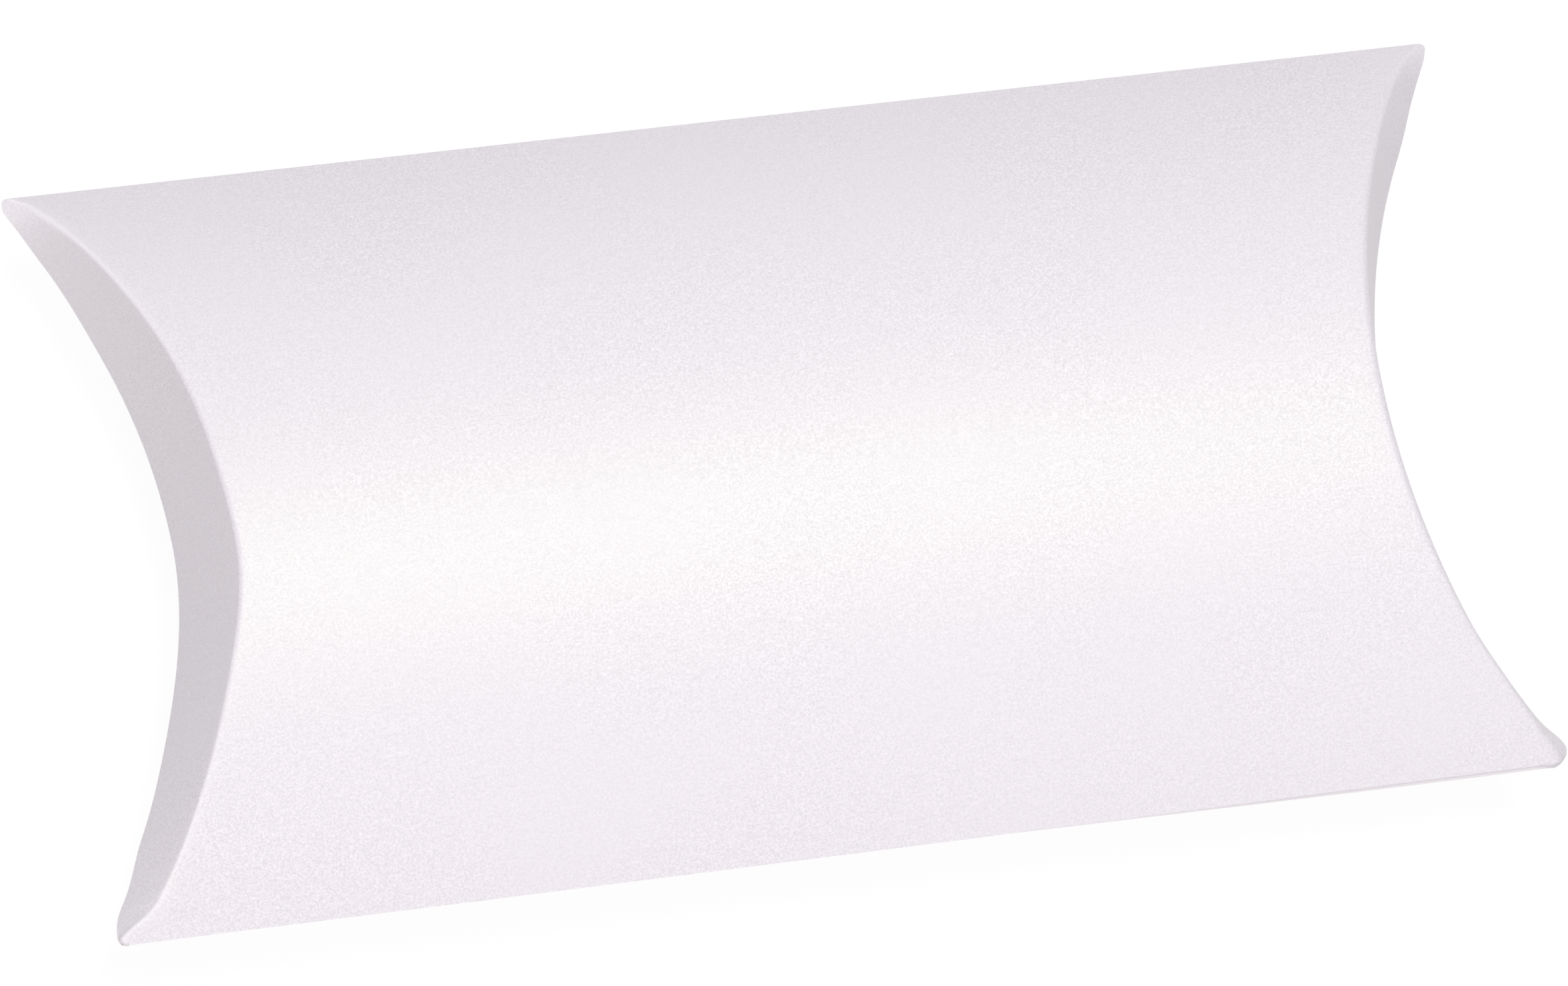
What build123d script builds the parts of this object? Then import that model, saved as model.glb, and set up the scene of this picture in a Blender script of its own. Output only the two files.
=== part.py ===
import os
from math import hypot, sqrt

from build123d import *

os.makedirs("parts", exist_ok=True)

# Sizes of the closed box, in millimetres. X runs along the length, Y across the width, Z is up.
# The box lies on its back panel. The origin is the centre of the face that it rests on.
box_length = 206.4
panel_width = 110.0
bulge_height = 35.0
scoop_allowance = 3.5
nose_length = 0.5
crown_flat_width = 6.0

# The card and its glue
card_thickness = 0.45
glue_thickness = 0.14
glue_clearance = 0.02
fold_radius = 0.6
tip_radius = 2.2

# The long seam, where the front panel is glued over a flap that is hinged on the back panel
fold_width = 1.6
cut_edge_setback = 1.3
glue_flap_width = 14.0
glue_flap_end_gap = 6.0
glue_flap_end_taper = 13.0
glue_margin = 2.5

# The four end flaps
crease_gap = 0.3
flap_overhang = 1.5
flap_end_inset = 2.5
inner_flap_depth = 21.0
inner_flap_end_inset = 10.0
inner_flap_slant_share = 1.87

# How far a cutting solid runs past what it cuts
overrun = 5.0

# Each panel is part of a round cylinder over the box's width
half_length = box_length / 2
crease_half = half_length - nose_length
half_width = panel_width / 2
rise = bulge_height / 2
panel_radius = (half_width**2 + rise**2) / (2 * rise)
centre_drop = panel_radius - rise
inner_radius = panel_radius - card_thickness
crown_flat_depth = panel_radius - sqrt(panel_radius**2 - (crown_flat_width / 2) ** 2)
mid_height = rise - crown_flat_depth

# The glue flap's outer face follows the inside of the front panel, less the glue
glue_flap_radius = inner_radius - glue_thickness
glue_flap_inner_radius = glue_flap_radius - card_thickness
seam_drop = (panel_radius**2 - glue_flap_radius**2) / (4 * centre_drop)
seam_reach = sqrt(panel_radius**2 - (centre_drop + seam_drop) ** 2)
side_shift = (half_width - seam_reach) / 2

# The cross-section is drawn from the middle of the width. The seam side is thinner at its fold,
# so the drawing is moved sideways by half of that, which leaves the whole box centred.
section_plane = Plane(origin=(0, -side_shift, 0), x_dir=(0, 1, 0), z_dir=(1, 0, 0))
plan_plane = Plane.XY.offset(-overrun)
front_centre = (0, mid_height - centre_drop)
back_centre = (0, mid_height + centre_drop)
fold_edge = half_width - fold_width
cut_edge = half_width - cut_edge_setback

# Each end crease lies in one slanted plane, from the two corners to the crest of its panel.
# It scoops in by more than half the bulge, so that the closed flaps lean out past each other.
# The folds run on past it by the nose length, to the rounded corner tips.
end_scoop = rise + scoop_allowance
crease_length = hypot(end_scoop, rise)
crease_scale = crease_length / rise
crease_radius = panel_radius * crease_scale
crease_centre = (0, -centre_drop * crease_scale)
right_corner_line = (crease_half, -side_shift, mid_height)
left_corner_line = (-crease_half, -side_shift, mid_height)
front_right_crease = Plane(right_corner_line, x_dir=(0, 1, 0), z_dir=(rise, 0, end_scoop))
front_left_crease = Plane(left_corner_line, x_dir=(0, -1, 0), z_dir=(-rise, 0, end_scoop))
back_right_crease = Plane(right_corner_line, x_dir=(0, -1, 0), z_dir=(rise, 0, -end_scoop))
back_left_crease = Plane(left_corner_line, x_dir=(0, 1, 0), z_dir=(-rise, 0, -end_scoop))

# The front panel is a bowed sheet that ends at the curved creases and at its glued cut edge
with BuildPart() as front_panel:
    with BuildSketch(section_plane):
        with Locations(front_centre):
            Circle(panel_radius)
            Circle(inner_radius, mode=Mode.SUBTRACT)
        with Locations(((fold_edge - cut_edge) / 2, mid_height + rise / 2)):
            Rectangle(fold_edge + cut_edge, rise + overrun, mode=Mode.INTERSECT)
    extrude(amount=half_length, both=True)
    with BuildSketch(front_right_crease, front_left_crease):
        with Locations(crease_centre):
            Ellipse(panel_radius, crease_radius)
        with Locations((0, crease_length - nose_length)):
            Rectangle(panel_width, 2 * crease_length, mode=Mode.INTERSECT)
    extrude(amount=rise, both=True, mode=Mode.SUBTRACT)

# The back panel is the same sheet turned over, pressed flat along its crest where it rests
with BuildPart() as back_panel:
    with BuildSketch(section_plane):
        with Locations(back_centre):
            Circle(panel_radius)
            Circle(inner_radius, mode=Mode.SUBTRACT)
        with Locations((0, mid_height / 2)):
            Rectangle(2 * fold_edge, mid_height, mode=Mode.INTERSECT)
    extrude(amount=half_length, both=True)
    with BuildSketch(back_right_crease, back_left_crease):
        with Locations(crease_centre):
            Ellipse(panel_radius, crease_radius)
        with Locations((0, crease_length - nose_length)):
            Rectangle(panel_width, 2 * crease_length, mode=Mode.INTERSECT)
    extrude(amount=rise, both=True, mode=Mode.SUBTRACT)

# The side fold joins the two panels along the side that has no seam
with BuildPart() as side_fold:
    with BuildSketch(section_plane):
        with Locations(front_centre):
            Circle(panel_radius)
        with Locations(back_centre):
            Circle(panel_radius, mode=Mode.INTERSECT)
        fillet(vertices().sort_by(Axis.X)[-1], fold_radius)
        offset(amount=-card_thickness, mode=Mode.SUBTRACT)
        with Locations((fold_edge + overrun / 2, mid_height)):
            Rectangle(overrun, bulge_height, mode=Mode.INTERSECT)
    extrude(amount=half_length, both=True)
    with BuildSketch(plan_plane):
        RectangleRounded(box_length, 2 * half_width - 2 * side_shift, tip_radius)
    extrude(amount=bulge_height + overrun, mode=Mode.INTERSECT)

# The seam fold turns the back panel's edge in under the front panel's cut edge
with BuildPart() as seam_fold:
    with BuildSketch(section_plane):
        with Locations(front_centre):
            Circle(glue_flap_radius)
        with Locations(back_centre):
            Circle(panel_radius, mode=Mode.INTERSECT)
        fillet(vertices().sort_by(Axis.X)[0], fold_radius)
        offset(amount=-card_thickness, mode=Mode.SUBTRACT)
        with Locations((-fold_edge - overrun / 2, mid_height)):
            Rectangle(overrun, bulge_height, mode=Mode.INTERSECT)
    extrude(amount=half_length, both=True)
    with BuildSketch(plan_plane):
        RectangleRounded(box_length, 2 * half_width - 2 * side_shift, tip_radius)
    extrude(amount=bulge_height + overrun, mode=Mode.INTERSECT)

# The glue flap lies inside, under the front panel, with slanted ends
with BuildPart() as glue_flap:
    with BuildSketch(section_plane):
        with Locations(front_centre):
            Circle(glue_flap_radius)
            Circle(glue_flap_inner_radius, mode=Mode.SUBTRACT)
        with Locations((-fold_edge + glue_flap_width / 2, mid_height + rise / 2)):
            Rectangle(glue_flap_width, rise, mode=Mode.INTERSECT)
    extrude(amount=half_length, both=True)
    glue_flap_long_end = half_length - glue_flap_end_gap
    glue_flap_short_end = glue_flap_long_end - glue_flap_end_taper
    glue_flap_root = -fold_edge - side_shift
    glue_flap_edge = glue_flap_root + glue_flap_width
    with BuildSketch(plan_plane):
        with BuildLine():
            Polyline(
                (-glue_flap_long_end, glue_flap_root),
                (glue_flap_long_end, glue_flap_root),
                (glue_flap_short_end, glue_flap_edge),
                (-glue_flap_short_end, glue_flap_edge),
                close=True,
            )
        make_face()
    extrude(amount=bulge_height + overrun, mode=Mode.INTERSECT)

# The glue fills the space between the glue flap and the front panel
with BuildPart() as glue_strip:
    with BuildSketch(section_plane):
        with Locations(front_centre):
            Circle(inner_radius - glue_clearance)
            Circle(glue_flap_radius + glue_clearance, mode=Mode.SUBTRACT)
        with Locations((-fold_edge + glue_flap_width / 2, mid_height + rise / 2)):
            Rectangle(glue_flap_width - 2 * glue_margin, rise, mode=Mode.INTERSECT)
    extrude(amount=glue_flap_short_end, both=True)

# An outer flap carries the front panel on past its crease, folded over as a mirror image. The
# card is drawn above the panel's outer face here, because the mirror turns that side inwards.
# The free edge is straight in the flat card, just past the line between the corner tips.
with BuildPart() as right_outer_flap:
    with BuildSketch(section_plane.offset(half_length + flap_overhang)):
        with Locations(front_centre):
            Circle(panel_radius + card_thickness)
            Circle(panel_radius, mode=Mode.SUBTRACT)
        with Locations((0, mid_height + rise / 2)):
            Rectangle(2 * (half_width - flap_end_inset), rise + overrun, mode=Mode.INTERSECT)
    extrude(amount=-end_scoop - flap_overhang - overrun)
    mirror(about=front_right_crease, mode=Mode.REPLACE)
    with BuildSketch(front_right_crease):
        with Locations((0, crease_centre[1] - crease_gap)):
            Ellipse(panel_radius, crease_radius)
        with Locations((0, crease_length - flap_overhang)):
            Rectangle(panel_width, 2 * crease_length, mode=Mode.INTERSECT)
    extrude(amount=bulge_height, both=True, mode=Mode.INTERSECT)

with BuildPart() as left_outer_flap:
    mirror(right_outer_flap.part, about=Plane.YZ)

# An inner flap stands upright on the back panel's crease, behind the outer flap.
# Seen from above it follows that crease. Its free edge runs towards the corner tips, and its
# ends slant in to clear the corners.
upright_scale = end_scoop / rise
upright_centre = crease_half + centre_drop * upright_scale
flap_crest = end_scoop + overrun
flap_crest_rise = (inner_flap_depth - rise) * flap_crest / end_scoop
inner_flap_end = half_width - inner_flap_end_inset
inner_flap_spread = inner_flap_slant_share * rise
with BuildPart() as right_inner_flap:
    with BuildSketch(plan_plane):
        with Locations((upright_centre, -side_shift)):
            Ellipse(panel_radius * upright_scale + card_thickness, panel_radius + card_thickness)
            Ellipse(panel_radius * upright_scale, panel_radius, mode=Mode.SUBTRACT)
        with Locations((crease_half - flap_crest / 2, -side_shift)):
            Rectangle(flap_crest, panel_width, mode=Mode.INTERSECT)
    extrude(amount=bulge_height)
    with BuildSketch(Plane.XZ):
        with BuildLine():
            Polyline(
                (crease_half, -overrun),
                (crease_half, mid_height),
                (crease_half - flap_crest, mid_height + flap_crest_rise),
                (crease_half - flap_crest, -overrun),
                close=True,
            )
        make_face()
    extrude(amount=panel_width, both=True, mode=Mode.INTERSECT)
    with BuildSketch(section_plane):
        with BuildLine():
            Polyline(
                (-inner_flap_end - inner_flap_spread, mid_height - rise),
                (inner_flap_end + inner_flap_spread, mid_height - rise),
                (inner_flap_end - inner_flap_spread, mid_height + rise),
                (-inner_flap_end + inner_flap_spread, mid_height + rise),
                close=True,
            )
        make_face()
    extrude(amount=half_length, mode=Mode.INTERSECT)
    with BuildSketch(back_right_crease):
        with Locations((0, crease_centre[1] - crease_gap)):
            Ellipse(panel_radius, crease_radius)
        with Locations((0, crease_length)):
            Rectangle(panel_width, 2 * crease_length, mode=Mode.INTERSECT)
    extrude(amount=bulge_height, both=True, mode=Mode.INTERSECT)

with BuildPart() as left_inner_flap:
    mirror(right_inner_flap.part, about=Plane.YZ)

front_panel.part.label = "front_panel"
back_panel.part.label = "back_panel"
side_fold.part.label = "side_fold"
seam_fold.part.label = "seam_fold"
glue_flap.part.label = "glue_flap"
glue_strip.part.label = "glue_strip"
left_outer_flap.part.label = "left_outer_flap"
right_outer_flap.part.label = "right_outer_flap"
left_inner_flap.part.label = "left_inner_flap"
right_inner_flap.part.label = "right_inner_flap"
for piece in (front_panel, back_panel, side_fold, seam_fold, glue_flap, glue_strip,
              left_outer_flap, right_outer_flap, left_inner_flap, right_inner_flap):
    export_step(piece.part, f"parts/{piece.part.label}.step")
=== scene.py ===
"""A closed pillow box of pearl card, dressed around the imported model."""

import logging
import math
from dataclasses import dataclass
from enum import Enum

import bmesh
import bpy
import numpy as np
from mathutils import Matrix, Vector

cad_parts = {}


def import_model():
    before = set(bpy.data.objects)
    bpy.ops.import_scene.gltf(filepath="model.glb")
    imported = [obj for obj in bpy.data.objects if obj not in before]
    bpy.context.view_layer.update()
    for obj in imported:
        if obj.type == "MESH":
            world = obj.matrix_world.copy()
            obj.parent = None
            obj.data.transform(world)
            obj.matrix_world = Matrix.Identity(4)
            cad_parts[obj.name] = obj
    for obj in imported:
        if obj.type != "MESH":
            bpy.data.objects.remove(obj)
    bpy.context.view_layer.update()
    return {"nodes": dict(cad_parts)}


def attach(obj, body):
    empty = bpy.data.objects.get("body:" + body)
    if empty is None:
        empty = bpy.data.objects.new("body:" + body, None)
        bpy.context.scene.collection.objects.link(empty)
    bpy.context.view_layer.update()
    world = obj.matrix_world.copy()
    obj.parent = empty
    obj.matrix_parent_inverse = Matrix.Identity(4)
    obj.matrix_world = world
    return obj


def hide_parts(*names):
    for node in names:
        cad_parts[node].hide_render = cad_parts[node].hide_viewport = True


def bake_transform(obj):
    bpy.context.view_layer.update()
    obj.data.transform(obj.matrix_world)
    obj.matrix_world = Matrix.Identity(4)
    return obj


log = logging.getLogger("pillow_box")

MM = 0.001
# Name of the point value that says how much painted highlight lies on a card's rim; the coat mixes its rim
# colour in by it.
PAINTED_HIGHLIGHT = "painted_rim_highlight"

# Points and edges of a card's mesh that are nearer or shorter than this, in metres, are joined.
MERGE_DISTANCE = 2e-7
SHORTEST_EDGE = 1e-7

# Least values that keep a division from failing.
SMALLEST_NORMAL = 1e-12
SHORTEST_FLAP = 1e-9
SMALLEST_TANGENT = 1e-6

# Edges that bend by more than this are shaded sharp.
CARD_SHARP_ANGLE = math.radians(50)
SEAM_SHARP_ANGLE = math.radians(30)

# Most of a noise lies between these values.
NOISE_SPAN = (0.3, 0.7)

# How strongly rows crowd towards both sides of the box, from 0 to 1.
SIDE_CROWDING = 0.65

Vector3 = tuple[float, float, float]
Colour = tuple[float, float, float]
Span = tuple[float, float]
Socket = bpy.types.NodeSocket


class Face(Enum):
    """The three surfaces of the card, by material index."""

    COATED = 0
    INSIDE = 1
    CUT = 2


class End(Enum):
    """The two ends of the box, by the sign of X."""

    LEFT = -1
    RIGHT = 1


class Layer(Enum):
    """The two flaps of an end."""

    OUTER = "outer"
    INNER = "inner"

    @property
    def facing(self) -> float:
        """1 for the flap on the front panel, -1 for the one on the back panel."""
        return 1.0 if self is Layer.OUTER else -1.0


def ease(value: np.ndarray, low: float, high: float) -> np.ndarray:
    """Rise smoothly from 0 at low to 1 at high.

    Args:
        value: Positions to rate.
        low: Where the rise starts.
        high: Where the rise ends.

    Returns:
        The share at each position.
    """
    share = np.clip((np.asarray(value, float) - low) / (high - low), 0.0, 1.0)
    return share * share * (3.0 - 2.0 * share)


def softer_minimum(first: np.ndarray, second: np.ndarray, blend: float) -> np.ndarray:
    """Take the smaller of two curves with a rounded change between them.

    Args:
        first: Values of the first curve.
        second: Values of the second curve.
        blend: How near the curves come before the rounding starts.

    Returns:
        The rounded smaller values.
    """
    gap = np.clip(0.5 + 0.5 * (second - first) / blend, 0.0, 1.0)
    return second * (1.0 - gap) + first * gap - blend * gap * (1.0 - gap)


@dataclass(frozen=True)
class Corner:
    """How one corner tip is cut, and how the crease and the outer flap's free edge run into it, in metres.

    Attributes:
        tip_trim: How far the tip ends short of the box's length.
        tip_radius: Radius of the rounded tip, seen from above.
        tip_blend: How softly the free edge runs into the tip.
        edge_nose: Setback of the free edge's slanted line on this side.
        edge_rise: How much that setback grows towards the tip.
        rise_from: Where that growth starts across the width.
        rise_to: Where it ends.
        crease_nose: Setback of the crease's slanted line on this side.
        tip_nose: Setback of the crease at the tip itself.
        crease_turn: How far from the side the crease starts to run to that setback.
    """

    tip_trim: float
    tip_radius: float
    tip_blend: float
    edge_nose: float
    edge_rise: float
    rise_from: float
    rise_to: float
    crease_nose: float
    tip_nose: float
    crease_turn: float


@dataclass(frozen=True)
class EndLines:
    """The two corners of one end, and the form of its crease and free edge between them, in metres.

    Attributes:
        near: The corner on the seam side.
        far: The corner on the side fold.
        crest_nose: Setback of the crease's slanted line at the crest.
        crest_pull: How much farther the crease lies back beside the crest.
        edge_nose: Setback of the free edge's slanted line at the crest.
        nose_drop: How much lower the free edge ends at the near tip.
        crease_radius: Outside radius of the crease at the crest.
        highlight_strength: How strongly the crease's rim is painted lighter as a painted highlight, from 0
            to 1.
    """

    near: Corner
    far: Corner
    crest_nose: float
    crest_pull: float
    edge_nose: float
    nose_drop: float
    crease_radius: float
    highlight_strength: float


@dataclass(frozen=True)
class BoxForm:
    """Sizes of the closed box in metres, and the curves that follow from them.

    A zone gives where a change starts and ends, across the width from the section's middle if it doesn't
    say otherwise.

    Attributes:
        length: The box's length over its corner tips.
        width: Width to where the two panels would cross.
        bulge: Height between the two panels' crests.
        scoop: How far each crease lies back at the crest, against the corner tips; not used.
        nose: How far the regular crease ends short of the box's length; not used.
        crown_flat: Width of the flat strip on which the box rests.
        pressed_card: The card's thickness where both flaps of an end meet.
        pinch_share: The most of a row's height over the middle plane that one card takes up.
        fold_width: How much of the half width belongs to the side fold.
        fold_steps: Rows on the side fold's flat part and on its round edge.
        glue_gap: Thickness of the glue between the front panel and the glue flap.
        cut_skew: How far the front panel's cut edge lies back at the right end.
        seam_tuck: How far the seam fold is tucked in at the left end.
        seam_open_share: Where the seam is fully open, as a share of the half length.
        seam_end_zone: Where the seam fold's last tuck starts and ends, before the box's end.
        crease_lean: How much a crease lies back for each unit of height over the middle plane.
        pull_place: Where the crease is pulled back the most.
        lap: How far the flap's piece reaches over the panel, before the bend starts.
        edge_drop: How far the free edge hangs below the middle plane, as a share of the section's height.
        edge_hang: How much lower still it hangs between the corners.
        raise_from: Where the left end's free edge starts to rise to the panel, on the seam side.
        inner_end_inset: How far in from the side the inner flap's slanted end meets the middle plane.
        inner_slant: Run across the width of that slanted end for each unit of its height.
        inner_setback: How far the inner flap lies inside the outer one at the corner tips.
        inner_rest: The least height of the inner flap's free edge over the back panel.
        tip_zone: Distance from the box's middle beyond which a flap's inside and cut edges are coated too.
    """

    # The bowed section.
    length: float = 206.4 * MM
    width: float = 110.0 * MM
    bulge: float = 35.0 * MM
    scoop: float = 21.0 * MM
    nose: float = 0.5 * MM
    crown_flat: float = 6.0 * MM
    card: float = 0.45 * MM
    pressed_card: float = 0.06 * MM
    pinch_share: float = 0.75

    # The side fold and the glued seam.
    fold_radius: float = 0.6 * MM
    fold_width: float = 1.6 * MM
    fold_steps: tuple[int, int] = (6, 11)
    glue_gap: float = 0.14 * MM
    cut_setback: float = 1.0 * MM
    cut_skew: float = 0.15 * MM
    skew_zone: Span = (50 * MM, 54 * MM)
    seam_tuck: float = 0.42 * MM
    seam_open_share: float = 0.9
    seam_end_gap: float = 0.5 * MM
    seam_end_tuck: float = 0.05 * MM
    seam_end_zone: Span = (4 * MM, 2 * MM)

    # The curved creases.
    crease_lean: float = 1.14
    crease_zone: Span = (34 * MM, 46 * MM)
    crease_setback: float = 0.15 * MM
    crease_blend: float = 0.3 * MM
    crease_settle: float = 0.3 * MM
    pull_place: float = -8.5 * MM
    pull_width: float = 11.0 * MM
    bend_zone: Span = (44 * MM, 53 * MM)
    tip_crease_radius: float = 1.9 * MM
    lap: float = 1.0 * MM
    # Where the painted highlight on a crease's rim grows towards the corner tips, across the width.
    highlight_zone: Span = (12 * MM, 46 * MM)

    # The outer flaps' free edges.
    edge_drop: float = 0.22
    edge_hang: float = 2.0 * MM
    hang_zone: Span = (46 * MM, 52.8 * MM)
    near_edge_zone: Span = (-4 * MM, 30 * MM)
    far_edge_zone: Span = (0.0, 50 * MM)
    drop_zone: Span = (52.6 * MM, 53.8 * MM)
    raise_from: float = 53.0 * MM
    raised_fall: float = 0.3 * MM

    # The inner flaps, and both flaps at the corner tips.
    inner_depth: float = 21.0 * MM
    inner_end_inset: float = 10.0 * MM
    inner_slant: float = 1.87
    inner_setback: float = 0.13 * MM
    inner_rest: float = 0.8 * MM
    inner_rest_rise: float = 2 * MM
    shut_zone: Span = (50.4 * MM, 52.4 * MM)
    press_zone: Span = (47 * MM, 51 * MM)
    tip_zone: float = 51.5 * MM

    # The two ends.
    left: EndLines = EndLines(
        near=Corner(
            tip_trim=0.1 * MM,
            tip_radius=1.3 * MM,
            tip_blend=2.0 * MM,
            edge_nose=-4.9 * MM,
            edge_rise=1.15 * MM,
            rise_from=38 * MM,
            rise_to=48 * MM,
            crease_nose=1.62 * MM,
            tip_nose=-2.2 * MM,
            crease_turn=5.8 * MM,
        ),
        far=Corner(
            tip_trim=0.1 * MM,
            tip_radius=0.7 * MM,
            tip_blend=0.6 * MM,
            edge_nose=-2.65 * MM,
            edge_rise=0.9 * MM,
            rise_from=31 * MM,
            rise_to=50 * MM,
            crease_nose=1.8 * MM,
            tip_nose=0.6 * MM,
            crease_turn=2.2 * MM,
        ),
        crest_nose=1.5 * MM,
        crest_pull=1.0 * MM,
        edge_nose=-3.0 * MM,
        nose_drop=0.0,
        crease_radius=0.85 * MM,
        highlight_strength=0.4,
    )
    right: EndLines = EndLines(
        near=Corner(
            tip_trim=0.82 * MM,
            tip_radius=3.0 * MM,
            tip_blend=1.0 * MM,
            edge_nose=-3.9 * MM,
            edge_rise=1.0 * MM,
            rise_from=38 * MM,
            rise_to=50 * MM,
            crease_nose=1.0 * MM,
            tip_nose=0.7 * MM,
            crease_turn=3.0 * MM,
        ),
        far=Corner(
            tip_trim=0.45 * MM,
            tip_radius=0.9 * MM,
            tip_blend=1.0 * MM,
            edge_nose=-3.6 * MM,
            edge_rise=3.7 * MM,
            rise_from=39 * MM,
            rise_to=61 * MM,
            crease_nose=2.1 * MM,
            tip_nose=1.2 * MM,
            crease_turn=4.0 * MM,
        ),
        crest_nose=1.8 * MM,
        crest_pull=0.0,
        edge_nose=-4.2 * MM,
        nose_drop=0.9 * MM,
        crease_radius=1.3 * MM,
        highlight_strength=0.0,
    )

    @property
    def half(self) -> float:
        """Half of the box's length."""
        return self.length / 2

    @property
    def half_width(self) -> float:
        """Half of the width, to where the two panels would cross."""
        return self.width / 2

    @property
    def rise(self) -> float:
        """Height of a panel's crest over the middle plane."""
        return self.bulge / 2

    @property
    def radius(self) -> float:
        """Radius of each panel's round cylinder."""
        return (self.half_width**2 + self.rise**2) / (2 * self.rise)

    @property
    def drop(self) -> float:
        """How far a panel's centre line lies beyond the middle plane."""
        return self.radius - self.rise

    @property
    def middle(self) -> float:
        """Height of the middle plane over the table."""
        return self.rise - (self.radius - math.sqrt(self.radius**2 - (self.crown_flat / 2) ** 2))

    @property
    def glue_flap_radius(self) -> float:
        """Radius of the glue flap's outer face, under the front panel and the glue."""
        return self.radius - self.card - self.glue_gap

    @property
    def side_shift(self) -> float:
        """How far the section's middle lies from the box's middle, because the seam side is thinner."""
        seam_drop = (self.radius**2 - self.glue_flap_radius**2) / (4 * self.drop)
        reach = math.sqrt(self.radius**2 - (self.drop + seam_drop) ** 2)
        return (self.half_width - reach) / 2

    @property
    def seam_centre(self) -> tuple[float, float]:
        """Centre of the seam fold's small round edge: how far out it lies, and how low."""
        over = self.glue_flap_radius - self.fold_radius
        under = self.radius - self.fold_radius
        low = (under**2 - over**2) / (4 * self.drop)
        return math.sqrt(under**2 - (self.drop + low) ** 2), low

    @property
    def seam_reach(self) -> float:
        """How far the seam fold reaches out from the section's middle."""
        return self.seam_centre[0] + self.fold_radius

    @property
    def fold_edge(self) -> float:
        """Where the side fold takes over from the panels."""
        return self.half_width - self.fold_width

    @property
    def cut_edge(self) -> float:
        """Where the front panel's glued cut edge lies."""
        return self.half_width - self.cut_setback

    @property
    def fold_centre(self) -> float:
        """Centre of the side fold's small round edge."""
        return self.half_width - self.fold_radius * self.radius / self.half_width

    @property
    def fold_tangent(self) -> float:
        """Where the panel meets that round edge."""
        return self.fold_centre + self.fold_radius * self.half_width / self.radius

    def half_height(self, across: np.ndarray) -> np.ndarray:
        """Give the height of the outer surface over the middle plane.

        Args:
            across: Positions across the width, from the section's middle.

        Returns:
            The height at each position.
        """
        across = np.asarray(across, float)
        panel = np.sqrt(np.maximum(self.radius**2 - across**2, 0.0)) - self.drop
        beyond = np.clip(across - self.fold_centre, 0.0, self.fold_radius)
        edge = np.sqrt(self.fold_radius**2 - beyond**2)
        return np.where(across > self.fold_tangent, edge, panel)

    def lines(self, end: End) -> EndLines:
        """Look up the corners and crease of one end.

        Args:
            end: The end of the box.

        Returns:
            Its lines.
        """
        return self.left if end is End.LEFT else self.right

    def near_reach(self, end: End) -> float:
        """Measure how far the seam fold reaches out at one end. At the left it is tucked in.

        Args:
            end: The end of the box.

        Returns:
            The distance from the section's middle.
        """
        return self.seam_reach - (self.seam_tuck if end is End.LEFT else 0.0)

    def tip_outline(self, across: np.ndarray, end: End) -> np.ndarray:
        """Round the corner tips, by the farthest that each row may reach along the length.

        Args:
            across: Positions across the width, from the section's middle.
            end: The end of the box.

        Returns:
            The distance from the box's middle at each position.
        """
        across = np.asarray(across, float)
        near, far = self.lines(end).near, self.lines(end).far
        seam_side = max(self.near_reach(end), self.cut_edge)
        reach = np.where(across > 0, self.fold_centre + self.fold_radius, seam_side)
        trim = np.where(across > 0, far.tip_trim, near.tip_trim)
        radius = np.where(across > 0, far.tip_radius, near.tip_radius)
        inward = np.clip(np.abs(across) - (reach - radius), 0.0, radius)
        return self.half - trim - radius + np.sqrt(radius**2 - inward**2)

    def crease_at(self, across: np.ndarray, end: End) -> np.ndarray:
        """Place the crease along the box's length.

        Args:
            across: Positions across the width, from the section's middle.
            end: The end of the box.

        Returns:
            The distance from the box's middle at each position.
        """
        across = np.asarray(across, float)
        lines, side = self.lines(end), np.abs(across)
        corner_nose = np.where(across > 0, lines.far.crease_nose, lines.near.crease_nose)
        tip_nose = np.where(across > 0, lines.far.tip_nose, lines.near.tip_nose)
        turn = np.where(across > 0, lines.far.crease_turn, lines.near.crease_turn)
        pull = lines.crest_pull * np.exp(-(((across - self.pull_place) / self.pull_width) ** 2))
        nose = lines.crest_nose + pull + (corner_nose - lines.crest_nose) * ease(side, *self.crease_zone)
        nose = tip_nose + (nose - tip_nose) * ease(self.half_width - side, self.crease_settle, turn)
        line = self.half - nose - self.crease_lean * self.half_height(across)
        return softer_minimum(line, self.tip_outline(across, end) - self.crease_setback, self.crease_blend)

    def free_edge(self, across: np.ndarray, end: End) -> tuple[np.ndarray, np.ndarray]:
        """Place the outer flap's free edge, which ends in the corner tips.

        Args:
            across: Positions across the width, from the section's middle.
            end: The end of the box.

        Returns:
            The distance from the box's middle and the height over the middle plane.
        """
        across = np.asarray(across, float)
        height = self.half_height(across)
        lines = self.lines(end)
        near_share, far_share = ease(-across, *self.near_edge_zone), ease(across, *self.far_edge_zone)
        nose = lines.edge_nose + (lines.near.edge_nose - lines.edge_nose) * near_share
        nose = nose + (lines.far.edge_nose - lines.edge_nose) * far_share
        for corner, side in ((lines.near, -across), (lines.far, across)):
            nose = nose + corner.edge_rise * ease(side, corner.rise_from, corner.rise_to)
        blend = np.where(across > 0, lines.far.tip_blend, lines.near.tip_blend)
        line = self.half - nose - self.crease_lean * height
        hang = self.edge_hang * (1.0 - ease(np.abs(across), *self.hang_zone))
        level = -self.edge_drop * height - hang
        if end is End.LEFT:
            raised = height - self.raised_fall
            level = level + (raised - level) * ease(-across, self.raise_from, self.cut_edge)
        return softer_minimum(line, self.tip_outline(across, end), blend), level

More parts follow.
